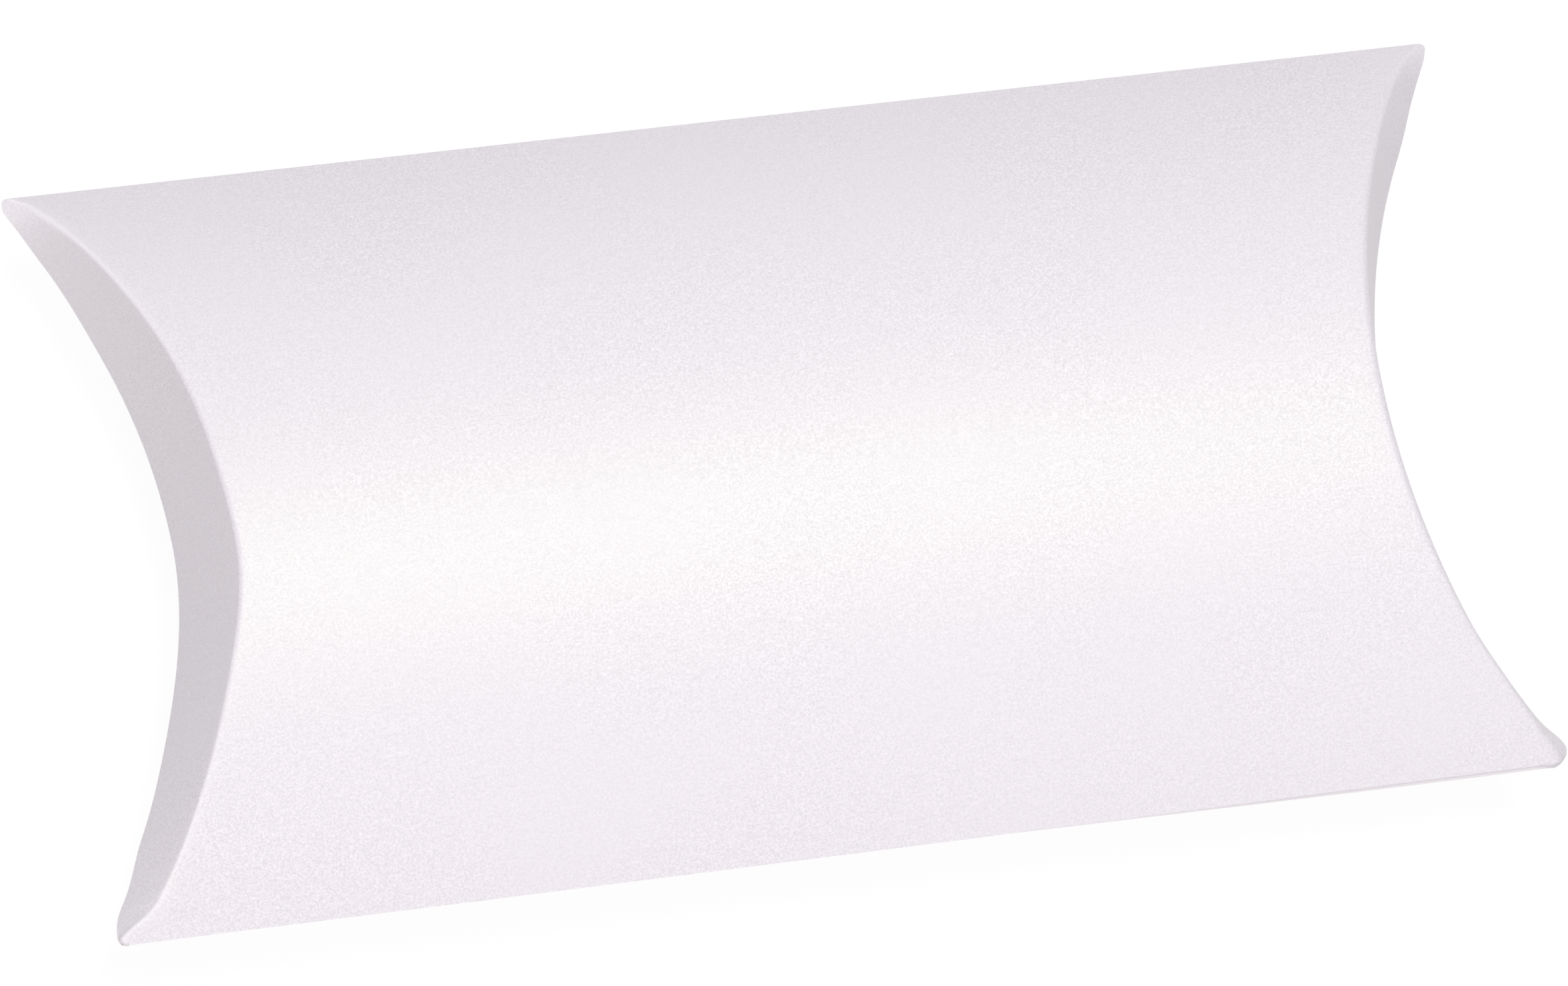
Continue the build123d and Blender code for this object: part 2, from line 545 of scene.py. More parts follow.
    def fold_rows(self) -> np.ndarray:
        """Place rows from the panels' side edge round to the tip of the side fold.

        Returns:
            The positions across the width.
        """
        flat_steps, round_steps = self.fold_steps
        flat = np.linspace(self.fold_edge, self.fold_centre, flat_steps)
        turn = np.linspace(0.0, math.pi / 2, round_steps)
        return np.unique(np.concatenate([flat, self.fold_centre + self.fold_radius * np.sin(turn)]))

    def bend_radius(self, across: np.ndarray, end: End) -> np.ndarray:
        """Give the outside radius of the crease, which opens out towards the corner tips.

        Args:
            across: Positions across the width, from the section's middle.
            end: The end of the box.

        Returns:
            The radius at each position.
        """
        opened = ease(np.abs(across), *self.bend_zone)
        radius = self.lines(end).crease_radius
        return radius + (self.tip_crease_radius - radius) * opened

    def panel_end(self, across: np.ndarray, end: End) -> np.ndarray:
        """Place the line where the panel hands over to the flap's piece, just before the crease's bend.

        Args:
            across: Positions across the width, from the section's middle.
            end: The end of the box.

        Returns:
            The distance from the box's middle at each position.
        """
        return self.crease_at(across, end) - self.bend_radius(across, end) - self.lap

    def thickness(self, across: np.ndarray) -> np.ndarray:
        """Give the card's thickness, pinched where the two flaps of an end meet at the corner tips.

        Args:
            across: Positions across the width, from the section's middle.

        Returns:
            The thickness at each position.
        """
        return np.clip(self.pinch_share * self.half_height(across), self.pressed_card, self.card)

    def right_share(self, along: np.ndarray) -> np.ndarray:
        """Rate how far the seam shows along the length, from hidden at the left to open at the right.

        Args:
            along: Positions along the length.

        Returns:
            The share at each position.
        """
        return ease(along, 0.0, self.seam_open_share * self.half)

    def cut_shift(self, across: np.ndarray, along: np.ndarray) -> np.ndarray:
        """Give how far the front panel's cut edge lies back from its place at the left end.

        Args:
            across: Positions across the width, from the section's middle.
            along: Positions along the length.

        Returns:
            The shift towards the box's middle at each position.
        """
        return self.cut_skew * self.right_share(along) * ease(-across, *self.skew_zone)


@dataclass
class CardSheet:
    """A sheet of card as a closed mesh, from a grid of points on its coated side.

    Attributes:
        name: The piece's name.
        points: The grid of points.
        card: The thickness, one for all points or one for each.
        rim: How much painted highlight lies at each point.
        all_coated_from: Distance from the middle beyond which the inside and the cut edges are coated too.
    """

    name: str
    points: np.ndarray
    card: float | np.ndarray
    rim: np.ndarray | None = None
    all_coated_from: float = math.inf

    def _normals(self) -> np.ndarray:
        """Measure the grid's unit normals, away from the card.

        Returns:
            A normal for each point.
        """
        along = np.gradient(self.points, axis=1)
        over = np.gradient(self.points, axis=0)
        normal = np.cross(along, over)
        size = np.linalg.norm(normal, axis=2, keepdims=True)
        outward = np.zeros_like(normal)
        outward[..., 1] = np.sign(self.points[..., 1])
        return np.where(size > SMALLEST_NORMAL, normal / np.maximum(size, SMALLEST_NORMAL), outward)

    def build(self, finishes: dict[Face, bpy.types.Material]) -> bpy.types.Object:
        """Make the closed mesh with its coated side, inside and cut edges.

        Args:
            finishes: The material of each surface.

        Returns:
            The new object.
        """
        rows, columns = self.points.shape[:2]
        outer = self.points.reshape(-1, 3)
        card = np.broadcast_to(np.asarray(self.card, float), (rows, columns))
        inner = (self.points - self._normals() * card[..., None]).reshape(-1, 3)
        inner = np.clip(inner, outer.min(axis=0), outer.max(axis=0))
        behind = rows * columns
        faces: list[tuple[int, ...]] = []
        kinds: list[int] = []
        for row in range(rows - 1):
            for column in range(columns - 1):
                a = row * columns + column
                b, c, d = a + 1, a + columns + 1, a + columns
                faces.append((a, b, c, d))
                kinds.append(Face.COATED.value)
                faces.append((d + behind, c + behind, b + behind, a + behind))
                kinds.append(Face.INSIDE.value)
        rim = list(range(columns))
        rim += [row * columns + columns - 1 for row in range(1, rows)]
        rim += [(rows - 1) * columns + column for column in range(columns - 2, -1, -1)]
        rim += [row * columns for row in range(rows - 2, 0, -1)]
        for first, second in zip(rim, rim[1:] + rim[:1]):
            faces.append((second, first, first + behind, second + behind))
            kinds.append(Face.CUT.value)
        corners = np.vstack([outer, inner])
        for place, face in enumerate(faces):
            if np.abs(corners[list(face), 1]).min() > self.all_coated_from:
                kinds[place] = Face.COATED.value
        mesh = bpy.data.meshes.new(self.name)
        mesh.from_pydata(corners.tolist(), [], faces)
        mesh.polygons.foreach_set("material_index", kinds)
        mesh.polygons.foreach_set("use_smooth", [kind != Face.CUT.value for kind in kinds])
        for face in Face:
            mesh.materials.append(finishes[face])
        # The coated side carries the painted highlight share; the inside carries none.
        highlight_share = np.zeros(2 * behind) if self.rim is None else np.append(self.rim.ravel(), np.zeros(behind))
        mesh.attributes.new(PAINTED_HIGHLIGHT, "FLOAT", "POINT").data.foreach_set("value", highlight_share)
        shape = bmesh.new()
        shape.from_mesh(mesh)
        bmesh.ops.remove_doubles(shape, verts=shape.verts, dist=MERGE_DISTANCE)
        bmesh.ops.dissolve_degenerate(shape, dist=SHORTEST_EDGE, edges=shape.edges)
        bmesh.ops.recalc_face_normals(shape, faces=shape.faces)
        shape.to_mesh(mesh)
        shape.free()
        mesh.set_sharp_from_angle(angle=CARD_SHARP_ANGLE)
        sheet = bpy.data.objects.new(self.name, mesh)
        bpy.context.scene.collection.objects.link(sheet)
        return sheet


class Shader:
    """A node material under construction."""

    def __init__(self, name: str) -> None:
        """Start a material with one principled shader.

        Args:
            name: The material's name.
        """
        self.material = bpy.data.materials.new(name)
        self.material.use_nodes = True
        self.tree = self.material.node_tree
        self.surface = self.tree.nodes["Principled BSDF"]
        self.place = self.tree.nodes.new("ShaderNodeTexCoord").outputs["Object"]

    def noise(self, size: float, detail: float = 2.0, stretch: Vector3 = (1, 1, 1)) -> Socket:
        """Add a noise whose marks have a given size.

        Args:
            size: Size of the marks in metres.
            detail: How many finer layers it has.
            stretch: Scale of the pattern along each axis.

        Returns:
            The noise's value socket.
        """
        mapping = self.tree.nodes.new("ShaderNodeMapping")
        mapping.inputs["Scale"].default_value = stretch
        node = self.tree.nodes.new("ShaderNodeTexNoise")
        node.inputs["Scale"].default_value = 1.0 / size
        node.inputs["Detail"].default_value = detail
        self.tree.links.new(self.place, mapping.inputs["Vector"])
        self.tree.links.new(mapping.outputs["Vector"], node.inputs["Vector"])
        return node.outputs["Fac"]

    def blend_value(self, source: Socket, low: float = 0.0, high: float = 1.0) -> Socket:
        """Map a noise to a range of values.

        Args:
            source: The noise's socket.
            low: Value where the noise is low.
            high: Value where the noise is high.

        Returns:
            The mapped socket.
        """
        node = self.tree.nodes.new("ShaderNodeMapRange")
        node.inputs["From Min"].default_value, node.inputs["From Max"].default_value = NOISE_SPAN
        node.inputs["To Min"].default_value = low
        node.inputs["To Max"].default_value = high
        self.tree.links.new(source, node.inputs["Value"])
        return node.outputs["Result"]

    def mix(self, share: Socket, first: Colour | Socket, second: Colour | Socket) -> Socket:
        """Mix two colours.

        Args:
            share: The socket that says how much of the second colour shows.
            first: A colour, or the socket of one.
            second: A colour, or the socket of one.

        Returns:
            The mixed colour's socket.
        """
        node = self.tree.nodes.new("ShaderNodeMix")
        node.data_type = "RGBA"
        self.tree.links.new(share, node.inputs["Factor"])
        for socket, colour in ((node.inputs["A"], first), (node.inputs["B"], second)):
            if isinstance(colour, tuple):
                socket.default_value = (*colour, 1.0)
            else:
                self.tree.links.new(colour, socket)
        return node.outputs["Result"]

    def attribute(self, name: str) -> Socket:
        """Read a value that the mesh holds at its points.

        Args:
            name: The value's name.

        Returns:
            The value's socket.
        """
        node = self.tree.nodes.new("ShaderNodeAttribute")
        node.attribute_name = name
        return node.outputs["Fac"]

    def bump(self, height: Socket, strength: float, depth: float, under: Socket | None = None) -> Socket:
        """Add relief to the surface.

        Args:
            height: The socket that holds the relief.
            strength: How strongly it shows.
            depth: Its depth in metres.
            under: The relief that it lies on.

        Returns:
            The normal's socket.
        """
        node = self.tree.nodes.new("ShaderNodeBump")
        node.inputs["Strength"].default_value = strength
        node.inputs["Distance"].default_value = depth
        self.tree.links.new(height, node.inputs["Height"])
        if under is not None:
            self.tree.links.new(under, node.inputs["Normal"])
        return node.outputs["Normal"]

    def link(self, source: Socket, name: str) -> None:
        """Join a socket to one of the surface's inputs.

        Args:
            source: The socket.
            name: The input's name.
        """
        self.tree.links.new(source, self.surface.inputs[name])


@dataclass(frozen=True)
class PearlCoat:
    """The coated side of the card, a lilac white with a fine mica grain and a painted highlight on rims.

    Attributes:
        light: Colour of the bright grains.
        shade: Colour between them.
        cloud: Colour of the wide, soft patches.
        rim: Colour of the painted highlight on the creases' rims and the seam fold's edge.
        grain: Size of the grains.
        flake: Size of the smoother and rougher flakes.
        drift: Size of the patches.
        cloud_share: The least and the most of the patches' colour that shows.
        flake_relief: Strength and depth of the flakes' relief.
        grain_relief: Strength and depth of the grains' relief.
        roughness: Roughness of the smoothest and the roughest flakes.
        gloss: Level of the clear reflection.
        pearl: Tint of that reflection.
    """

    light: Colour = (0.862, 0.817, 0.888)
    shade: Colour = (0.680, 0.642, 0.700)
    cloud: Colour = (0.776, 0.736, 0.800)
    rim: Colour = (0.940, 0.900, 0.955)
    grain: float = 0.30 * MM
    flake: float = 0.50 * MM
    drift: float = 28.0 * MM
    cloud_share: Span = (0.1, 0.6)
    flake_relief: Span = (0.06, 0.03 * MM)
    grain_relief: Span = (0.20, 0.02 * MM)
    roughness: Span = (0.38, 0.48)
    gloss: float = 0.47
    pearl: Colour = (0.88, 1.0, 0.65)

    def material(self) -> bpy.types.Material:
        """Make the material.

        Returns:
            The new material.
        """
        shader = Shader("pearl_coat")
        sizes = (self.grain, self.flake, self.drift)
        grain, flake, drift = (shader.noise(size, detail=1.0) for size in sizes)
        speckle = shader.mix(shader.blend_value(grain), self.shade, self.light)
        colour = shader.mix(shader.blend_value(drift, *self.cloud_share), speckle, self.cloud)
        # Mix the painted highlight into the colour where the mesh's rim value says so.
        shader.link(shader.mix(shader.attribute(PAINTED_HIGHLIGHT), colour, self.rim), "Base Color")
        shader.link(shader.blend_value(flake, *self.roughness), "Roughness")
        relief = shader.bump(flake, *self.flake_relief)
        shader.link(shader.bump(grain, *self.grain_relief, relief), "Normal")
        shader.surface.inputs["Specular IOR Level"].default_value = self.gloss
        shader.surface.inputs["Specular Tint"].default_value = (*self.pearl, 1.0)
        return shader.material


@dataclass(frozen=True)
class BareBoard:
    """Uncoated card with short paper fibres.

    Attributes:
        name: The material's name.
        light: Colour of the bright fibres.
        shade: Colour between them.
        fibre: Thickness of the fibres.
        fibre_stretch: Scale of the fibres along each axis.
        felt: Size of the soft patches.
        felt_share: The least and the most that a patch lightens the board.
        relief: Strength and depth of the fibres' relief.
        roughness: Roughness where the fibres are low and where they are high.
    """

    name: str
    light: Colour
    shade: Colour
    fibre: float = 0.30 * MM
    fibre_stretch: Vector3 = (1.0, 0.25, 1.0)
    felt: float = 6.0 * MM
    felt_share: Span = (0.0, 0.4)
    relief: Span = (0.3, 0.03 * MM)
    roughness: Span = (0.78, 0.92)

    def material(self) -> bpy.types.Material:
        """Make the material.

        Returns:
            The new material.
        """
        shader = Shader(self.name)
        fibre = shader.noise(self.fibre, detail=4.0, stretch=self.fibre_stretch)
        felt = shader.noise(self.felt)
        threads = shader.mix(shader.blend_value(fibre), self.shade, self.light)
        colour = shader.mix(shader.blend_value(felt, *self.felt_share), threads, self.light)
        shader.link(colour, "Base Color")
        shader.link(shader.blend_value(fibre, *self.roughness), "Roughness")
        shader.link(shader.bump(fibre, *self.relief), "Normal")
        return shader.material


@dataclass(frozen=True)
class DriedGlue:
    """A strip of dried white glue, slightly yellow where it is thick.

    Attributes:
        clear: Colour of the thin glue.
        thick: Colour of the thick glue.
        pool: Size of the pools.
        pool_stretch: Scale of the pools along each axis.
        relief: Strength and depth of the pools' relief.
        roughness: Roughness of the thin and of the thick glue.
    """

    clear: Colour = (0.80, 0.76, 0.66)
    thick: Colour = (0.70, 0.63, 0.48)
    pool: float = 3.5 * MM
    pool_stretch: Vector3 = (0.3, 1.0, 1.0)
    relief: Span = (0.4, 0.05 * MM)
    roughness: Span = (0.30, 0.52)

    def material(self) -> bpy.types.Material:
        """Make the material.

        Returns:
            The new material.
        """
        shader = Shader("dried_glue")
        pooled = shader.noise(self.pool, detail=3.0, stretch=self.pool_stretch)
        shader.link(shader.mix(shader.blend_value(pooled), self.clear, self.thick), "Base Color")
        shader.link(shader.blend_value(pooled, *self.roughness), "Roughness")
        shader.link(shader.bump(pooled, *self.relief), "Normal")
        return shader.material


def widths(low: float, high: float, count: int) -> np.ndarray:
    """Spread positions across the width, closer together towards both sides.

    Args:
        low: The first position.
        high: The last position.
        count: How many there are.

    Returns:
        The positions.
    """
    turn = np.linspace(0.0, math.pi, count)
    spread = (1.0 - np.cos(turn)) / 2
    even = np.linspace(0.0, 1.0, count)
    return low + (high - low) * (SIDE_CROWDING * spread + (1.0 - SIDE_CROWDING) * even)


@dataclass
class CardSleeve:
    """The tube of the box: both panels, the side fold and the glued seam.

    Attributes:
        form: The box's sizes.
        finishes: The material of each surface.
        rows: Rows across each panel.
        columns: Columns along each row.
        seam_steps: Rows round the seam fold's edge.
    """

    form: BoxForm
    finishes: dict[Face, bpy.types.Material]
    rows: int = 120
    columns: int = 40
    seam_steps: int = 15

    def _lengths(self, across: np.ndarray, skewed: bool = False) -> np.ndarray:
        """Spread each row from one end crease to the other.

        Args:
            across: Position of each row across the width.
            skewed: Whether the rows beside the seam run at a slight angle, as the front panel's do.

        Returns:
            A grid of positions along the length.
        """
        form = self.form
        share = np.linspace(0.0, 1.0, self.columns)[None, :]
        moved = across + form.cut_shift(across, np.full_like(across, form.half)) if skewed else across
        left = -form.panel_end(across, End.LEFT)[:, None]
        right = form.panel_end(moved, End.RIGHT)[:, None]
        return left + (right - left) * share

    def _panel(self, name: str, across: np.ndarray, side: int) -> bpy.types.Object:
        """Build one bowed panel.

        Args:
            name: The piece's name.
            across: Position of each row across the width.
            side: 1 for the front panel, -1 for the back.

        Returns:
            The new object.
        """
        form = self.form
        lengths = self._lengths(across, side > 0)
        spread = np.broadcast_to(across[:, None], lengths.shape)
        if side > 0:
            spread = spread + form.cut_shift(spread, lengths)
        grid = np.empty((*lengths.shape, 3))
        grid[..., 0] = lengths
        grid[..., 1] = spread - form.side_shift
        grid[..., 2] = np.maximum(form.middle + side * form.half_height(spread), 0.0)
        if side < 0:
            grid = grid[::-1]
        return CardSheet(name, grid, form.card).build(self.finishes)

    def _place(self, card: bpy.types.Object, node: str) -> None:
        """Put a finished card in the place of its solid.

        Args:
            card: The card's piece.
            node: The solid's node.
        """
        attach(card, "case")
        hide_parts(node)
        log.info("built %s", card.name)

    def build_panels(self) -> None:
        """Build the front and the back panel in place of their solids."""
        form = self.form
        front = self._panel("front_panel_card", widths(-form.cut_edge, form.fold_edge, self.rows), 1)
        back = self._panel("back_panel_card", widths(-form.fold_edge, form.fold_edge, self.rows), -1)
        self._place(front, "front_panel")
        self._place(back, "back_panel")

    def build_side_fold(self) -> None:
        """Build the folded edge that joins the panels along the side without a seam."""
        form = self.form
        half = form.fold_rows()
        across = np.concatenate([half, half[-2::-1]])
        height = np.concatenate([form.half_height(half), -form.half_height(half)[-2::-1]])
        lengths = self._lengths(across)
        grid = np.empty((*lengths.shape, 3))
        grid[..., 0] = lengths
        grid[..., 1] = (across - form.side_shift)[:, None]
        grid[..., 2] = (form.middle + height)[:, None]
        fold = CardSheet("side_fold_card", grid, form.card)
        self._place(fold.build(self.finishes), "side_fold")

    def build_seam_fold(self) -> None:
        """Build the fold that turns the back panel in under the front panel's cut edge."""
        form = self.form
        out, low = form.seam_centre
        slope_under = math.asin(out / (form.radius - form.fold_radius))
        slope_over = math.asin(out / (form.glue_flap_radius - form.fold_radius))
        turn = np.linspace(slope_under - math.pi, -slope_over, self.seam_steps)[::-1]
        side = np.concatenate([[form.fold_edge], out - form.fold_radius * np.sin(turn), [form.fold_edge]])
        level = np.concatenate([
            [math.sqrt(form.glue_flap_radius**2 - form.fold_edge**2) - form.drop],
            form.fold_radius * np.cos(turn) - low,
            [form.drop - math.sqrt(form.radius**2 - form.fold_edge**2)],
        ])
        share = np.linspace(0.0, 1.0, self.columns)[None, :]
        left = (form.seam_end_gap - form.tip_outline(-side, End.LEFT))[:, None]
        right = (form.tip_outline(-side, End.RIGHT) - form.seam_end_gap)[:, None]
        grid = np.empty((len(side), self.columns, 3))
        grid[..., 0] = left + (right - left) * share
        hidden = form.seam_tuck * (1.0 - form.right_share(grid[..., 0]))
        start, stop = (form.half - inward for inward in form.seam_end_zone)
        hidden = hidden + form.seam_end_tuck * ease(np.abs(grid[..., 0]), start, stop)
        tucked = side[:, None] - hidden * ease(side, form.fold_edge, form.seam_reach)[:, None]
        grid[..., 1] = -tucked - form.side_shift
        grid[..., 2] = (form.middle + level)[:, None]
        # The seam fold's whole coated side is painted lighter as a painted highlight.
        highlight_share = np.ones(grid.shape[:2])
        fold = CardSheet("seam_fold_card", grid[::-1], form.card, highlight_share)
        self._place(fold.build(self.finishes), "seam_fold")

    def dress_seam(self, nodes: dict[str, bpy.types.Object], glue: bpy.types.Material) -> None:
        """Give the seam's own solids their finishes.

        Args:
            nodes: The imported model's nodes.
            glue: The finish of the glue strip.
        """
        for name, coat in (("glue_flap", self.finishes[Face.INSIDE]), ("glue_strip", glue)):
            node = nodes[name]
            node.data.materials.clear()
            node.data.materials.append(coat)
            node.data.polygons.foreach_set("use_smooth", [True] * len(node.data.polygons))
            node.data.set_sharp_from_angle(angle=SEAM_SHARP_ANGLE)
            log.info("dressed %s", name)

    def build(self, nodes: dict[str, bpy.types.Object], glue: bpy.types.Material) -> None:
        """Build and dress the whole sleeve.

        Args:
            nodes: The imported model's nodes.
            glue: The finish of the glue strip.
        """
        self.build_panels()
        self.build_side_fold()
        self.build_seam_fold()
        self.dress_seam(nodes, glue)


@dataclass
class EndClosure:
    """One end of the box: its outer and inner flap, each with the crease that it hangs on.

    Attributes:
        form: The box's sizes.
        finishes: The material of each surface.
        end: The end that it closes.
        rows: Rows across the panel's width.
        bend_steps: Columns round the crease.
        flap_steps: Columns from the crease to the free edge.
        nose_steps: Rows that close the corner tip on the seam side.
        bend_share: The most of a flap's depth that its bend may take up.
        press_start: How strongly the card is pressed where the bend starts, at the corner tips, from 0 to 1.
        highlight_base: The rim's painted highlight at both sides of the bend, as a share of the one in its
            middle.
        highlight_middle: The rim's painted highlight in the middle of the width, as a share of the one at
            the corner tips.
        hold_share: How far below the crease plane the card stays with the panel, as a share of the lap; not
            used.
        turn_depths: How far below the crease plane the outer and the inner flap turn fully; not used.
    """

    form: BoxForm
    finishes: dict[Face, bpy.types.Material]
    end: End
    rows: int = 120
    bend_steps: int = 9
    flap_steps: int = 12
    nose_steps: int = 8
    bend_share: float = 0.45
    press_start: float = 0.4
    highlight_base: float = 0.3
    highlight_middle: float = 0.2
    hold_share: float = 0.9
    turn_depths: Span = (14.8 * MM, 15.0 * MM)

    def _stack(self, across: np.ndarray, outward: np.ndarray, height: np.ndarray) -> np.ndarray:
        """Turn the paths of all rows into a grid of points at this end.

        Args:
            across: Position across the width of each point, by row.
            outward: Distance along the length of each point, by row.
            height: Height over the middle plane of each point, by row.

        Returns:
            The grid of points.
        """
        form = self.form
        grid = np.empty((*outward.shape, 3))
        grid[..., 0] = outward * self.end.value
        grid[..., 1] = across - form.side_shift
        grid[..., 2] = np.maximum(form.middle + height, 0.0)
        return grid if self.end is End.RIGHT else grid[::-1]

    def _rows(self, low: float, skewed: bool = False) -> np.ndarray:
        """Place the rows from the tip of the seam fold to the round edge of the side fold.

        Args:
            low: Where the panel's own edge lies on the seam side.
            skewed: Whether that edge runs at a slight angle, as the front panel's does.

        Returns:
            The positions across the width.
        """
        form = self.form
        main = np.concatenate([widths(low, form.fold_edge, self.rows), form.fold_rows()[1:]])
        if skewed:
            main = main + form.cut_shift(main, np.full_like(main, form.half * self.end.value))
        round_tip = main[0] - (form.near_reach(self.end) + main[0]) * np.sin(self._tip_turn())
        return np.concatenate([round_tip, main])

    def _tip_turn(self) -> np.ndarray:
        """Give the turns of the rows that close the corner tip on the seam side.

        Returns:
            An angle for each row, from the outermost line to the panel's edge.
        """
        return np.linspace(math.pi / 2, 0.0, self.nose_steps + 1)[:-1]

    def _closed(self, height: np.ndarray) -> np.ndarray:
        """Bring the first rows down to the seam fold's outermost line, to close the corner tip.

        Args:
            height: Height over the middle plane, by row.

        Returns:
            The height of each row of the closed tip.
        """
        seam, closed = -self.form.seam_centre[1], height.copy()
        closed[:self.nose_steps] = seam + (height[self.nose_steps] - seam) * np.cos(self._tip_turn())
        return closed

    def _bent(self, across: np.ndarray, layer: Layer, end_out: np.ndarray, end_up: np.ndarray) -> np.ndarray:
        """Bend each row from its panel, round the crease and straight on to the flap's free edge.

        Args:
            across: Position of each row across the width.
            layer: The flap that is made.
            end_out: Distance of the free edge from the box's middle, by row.
            end_up: Height of the free edge over the middle plane, by row.

        Returns:
            The grid of points on the coated side.
        """
        form = self.form
        facing = layer.facing
        height = self._closed(form.half_height(across) * facing)
        end_up = self._closed(end_up)
        crease = form.crease_at(across, self.end)
        outward, fall = end_out - crease, (height - end_up) * facing
        depth = np.maximum(np.hypot(outward, fall), SHORTEST_FLAP)
        turn = np.arctan2(fall, outward)
        tangent = np.minimum(form.bend_radius(across, self.end) * np.tan(turn / 2), self.bend_share * depth)
        radius = tangent / np.maximum(np.tan(turn / 2), SMALLEST_TANGENT)
        angles = turn[:, None] * np.linspace(0.0, 1.0, self.bend_steps)[None, :]
        bend_out = (crease - tangent)[:, None] + radius[:, None] * np.sin(angles)
        bend_up = height[:, None] - facing * radius[:, None] * (1.0 - np.cos(angles))
        share = np.linspace(0.0, 1.0, self.flap_steps + 1)[None, 1:]
        flap_out = bend_out[:, -1:] + (end_out[:, None] - bend_out[:, -1:]) * share
        flap_up = bend_up[:, -1:] + (end_up[:, None] - bend_up[:, -1:]) * share
        path = np.hstack([form.panel_end(across, self.end)[:, None], bend_out, flap_out])
        level = np.hstack([height[:, None], bend_up, flap_up])
        spread = np.repeat(across[:, None], path.shape[1], axis=1)
        for points in (path, level, spread):
            points[:self.nose_steps, 0] = points[self.nose_steps, 0]
        return self._stack(spread, path, level)

    def outer_grid(self) -> np.ndarray:
        """Place the points of the outer flap with its crease.

        Returns:
            The grid of points on the coated side.
        """
        form = self.form
        across = self._rows(-form.cut_edge, True)
        edge, level = form.free_edge(across, self.end)
        drop = form.lines(self.end).nose_drop * ease(-across, *form.drop_zone)
        return self._bent(across, Layer.OUTER, edge, level - drop)

    def inner_grid(self) -> np.ndarray:
        """Place the points of the inner flap with its crease, upright in the middle and shut at the tips.

        Returns:
            The grid of points on the coated side.
        """
        form = self.form
        across = self._rows(-form.fold_edge)
        height = form.half_height(across)
        side = np.abs(across)
        lift = (form.inner_depth - form.rise) / form.rise * height
        slanted = -(side - (form.half_width - form.inner_end_inset)) / form.inner_slant
        rest = form.inner_rest * ease(height, 0.0, form.inner_rest_rise)
        top = np.maximum(np.minimum(lift, slanted), -height + rest)
        shut = ease(side, *form.shut_zone)
        crease = form.crease_at(across, self.end)
        edge, level = form.free_edge(across, self.end)
        reach = np.maximum(edge - crease - form.inner_setback, 0.0) * shut
        closed = np.maximum(level - form.inner_setback, -height)
        return self._bent(across, Layer.INNER, crease + reach, top + (closed - top) * shut)[::-1]

    def _thickness(self, across: np.ndarray) -> np.ndarray:
        """Give a flap's thickness, pressed thin at the corner tips, where both flaps of the end meet.

        Args:
            across: Position of each row across the width.

        Returns:
            The thickness, by row and column.
        """
        form = self.form
        bend = np.linspace(self.press_start, 1.0, self.bend_steps)
        pressed = np.concatenate([[0.0], bend, np.ones(self.flap_steps)])
        share = ease(np.abs(across), *form.press_zone)[:, None] * pressed
        card = form.thickness(across)[:, None]
        return card + (form.pressed_card - card) * share

    def _rim_highlight(self, across: np.ndarray) -> np.ndarray:
        """Rate how much painted highlight the crease's rim gets at each point, strongest towards the corner
        tips.

        Args:
            across: Position of each row across the width.

        Returns:
            The share of the painted highlight colour, by row and column.
        """
        form = self.form
        round_bend = np.sin(np.linspace(0.0, math.pi, self.bend_steps))
        bend = self.highlight_base + (1.0 - self.highlight_base) * round_bend
        profile = np.concatenate([[0.0], bend, np.zeros(self.flap_steps)])
        sideways = self.highlight_middle + (1.0 - self.highlight_middle) * ease(np.abs(across), *form.highlight_zone)
        return (form.lines(self.end).highlight_strength * sideways)[:, None] * profile[None, :]

    def _hang(self, card: bpy.types.Object) -> None:
        """Bake a flap's placement into its mesh.

        Args:
            card: The flap's piece.
        """
        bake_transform(card)

    def build(self) -> None:
        """Build both flaps of this end in place of their solids."""
        side = self.end.name.lower()
        grids = (self.outer_grid(), self.inner_grid())
        for layer, grid, free_edge in zip(Layer, grids, self.turn_depths):
            across = grid[:, -1, 1] + self.form.side_shift
            name, card_depth = f"{side}_{layer.value}_flap_card", self._thickness(across)
            sheet = CardSheet(name, grid, card_depth, self._rim_highlight(across), self.form.tip_zone)
            card = sheet.build(self.finishes)
            self._hang(card)
            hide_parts(f"{side}_{layer.value}_flap")
            log.info("built %s", card.name)


@dataclass(frozen=True)
class SoftLamp:
    """A soft rectangular lamp that faces the box.

    Attributes:
        name: The lamp's name.
        direction: Where it hangs, seen from the box.
        distance: How far away it hangs.
        level: How bright it makes a white surface that faces it, where 1 renders white.
        size: Its length and width.
        colour: Its colour.
    """

    name: str
    direction: Vector3
    distance: float
    level: float
    size: Span
    colour: Colour

    def hang(self) -> None:
        """Hang the lamp in the studio."""
        data = bpy.data.lights.new(self.name, "AREA")
        data.shape = "RECTANGLE"
        data.size, data.size_y = self.size
        data.color = self.colour
        data.energy = self.level * math.pi**2 * self.distance**2
        lamp = bpy.data.objects.new(self.name, data)
        away = Vector(self.direction).normalized()
        lamp.location = away * self.distance
        lamp.rotation_euler = away.to_track_quat("Z", "X").to_euler()
        bpy.context.scene.collection.objects.link(lamp)


